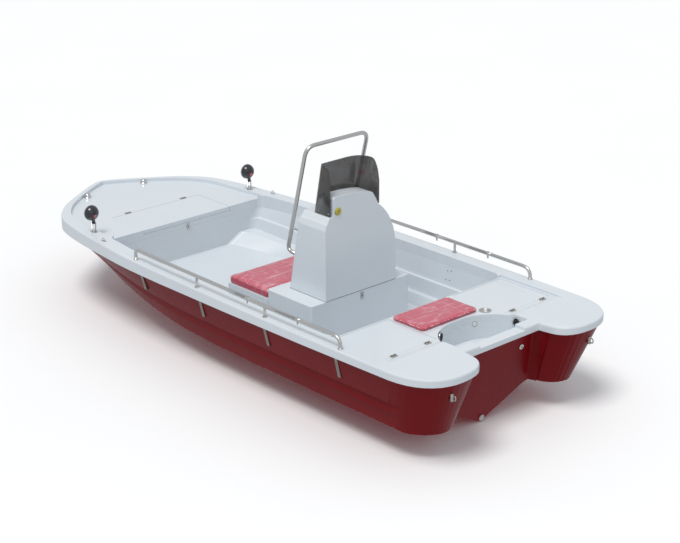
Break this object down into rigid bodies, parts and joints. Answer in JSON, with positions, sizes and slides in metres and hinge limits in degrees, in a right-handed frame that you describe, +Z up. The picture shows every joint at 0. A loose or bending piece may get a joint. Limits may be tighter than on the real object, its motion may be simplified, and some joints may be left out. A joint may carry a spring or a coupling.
{
  "type": "bass fishing boat",
  "caption": "Low centre-console fishing boat with raised bow and stern decks, storage lids, side rails, tilting helm tower with screen and grab hoop, notched transom, no engine",
  "frame": {"origin": "On the centreline amidships, at the drawn waterline of the empty boat", "axes": "+X to the bow, +Y to port, +Z up; the deck lies 446 mm above the origin and the keel 200 mm below"},
  "size_m": [4.596, 1.814, 1.6161],
  "materials": {
    "white_gelcoat": "white moulded gelcoat",
    "red_gelcoat": "dark red moulded gelcoat",
    "stainless": "polished stainless tube and fittings",
    "vinyl": "padded red vinyl under thin clear film",
    "smoked_acrylic": "smoked acrylic sheet",
    "black_plastic": "black moulded lamp shell",
    "yellow_plastic": "dull yellow moulded cap",
    "white_plastic": "white moulded skin fitting"
  },
  "bodies": {
    "boat": {"aft_cushion": "vinyl", "aft_hinge_port_inner": "stainless", "aft_hinge_port_outer": "stainless", "aft_hinge_starboard_inner": "stainless", "aft_hinge_starboard_outer": "stainless", "bow_eye": "stainless", "cockpit_liner": "white_gelcoat", "console_base": "white_gelcoat", "console_latch": "stainless", "cup_holder": "stainless", "deck": "white_gelcoat", "drain_plug": "stainless", "fore_locker": "white_gelcoat", "front_cushion": "vinyl", "front_seat_base": "white_gelcoat", "hatch_hinge_port": "stainless", "hatch_hinge_starboard": "stainless", "hatch_latch": "stainless", "hull": "red_gelcoat", "motor_well": "white_gelcoat", "port_aft_locker": "white_gelcoat", "port_hull_strap_1": "stainless", "port_hull_strap_2": "stainless", "port_hull_strap_3": "stainless", "port_hull_strap_4": "stainless", "port_lamp_fork": "stainless", "port_nav_light": "stainless", "port_pad_eye": "stainless", "port_rail": "stainless", "port_rigging_ring": "stainless", "port_stern_eye": "stainless", "starboard_aft_locker": "white_gelcoat", "starboard_hull_strap_1": "stainless", "starboard_hull_strap_2": "stainless", "starboard_hull_strap_3": "stainless", "starboard_hull_strap_4": "stainless", "starboard_lamp_fork": "stainless", "starboard_nav_light": "stainless", "starboard_pad_eye": "stainless", "starboard_rail": "stainless", "starboard_rigging_ring": "stainless", "starboard_stern_eye": "stainless", "well_drain": "white_plastic"},
    "fore_hatch": {"foredeck_hatch": "white_gelcoat"},
    "port_lid": {"port_aft_lid": "white_gelcoat"},
    "starboard_lid": {"starboard_aft_lid": "white_gelcoat"},
    "tower": {"console_tower": "white_gelcoat", "windscreen": "smoked_acrylic", "console_grab_rail": "stainless", "helm_cap": "yellow_plastic"},
    "port_lamp_head": {"port_lamp": "black_plastic"},
    "starboard_lamp_head": {"starboard_lamp": "black_plastic"}
  },
  "joints": [
    {"name": "fore_hatch_hinge", "type": "hinge", "parent": "boat", "child": "fore_hatch", "pos_m": [1.536, 0, 0.4255], "axis": [0, 1, 0], "range_deg": [0, 100]},
    {"name": "port_lid_hinge", "type": "hinge", "parent": "boat", "child": "port_lid", "pos_m": [-1.79, 0.5385, 0.4355], "axis": [0, -1, 0], "range_deg": [0, 95]},
    {"name": "starboard_lid_hinge", "type": "hinge", "parent": "boat", "child": "starboard_lid", "pos_m": [-1.79, -0.5385, 0.4355], "axis": [0, -1, 0], "range_deg": [0, 95]},
    {"name": "tower_tilt", "type": "hinge", "parent": "boat", "child": "tower", "pos_m": [-0.403, 0, 0.385], "axis": [0, 1, 0], "range_deg": [0, 65]},
    {"name": "port_lamp_tilt", "type": "hinge", "parent": "boat", "child": "port_lamp_head", "pos_m": [1.301, 0.738, 0.515], "axis": [0, 1, 0], "range_deg": [-35, 35]},
    {"name": "starboard_lamp_tilt", "type": "hinge", "parent": "boat", "child": "starboard_lamp_head", "pos_m": [1.301, -0.738, 0.515], "axis": [0, 1, 0], "range_deg": [-35, 35]}
  ]
}
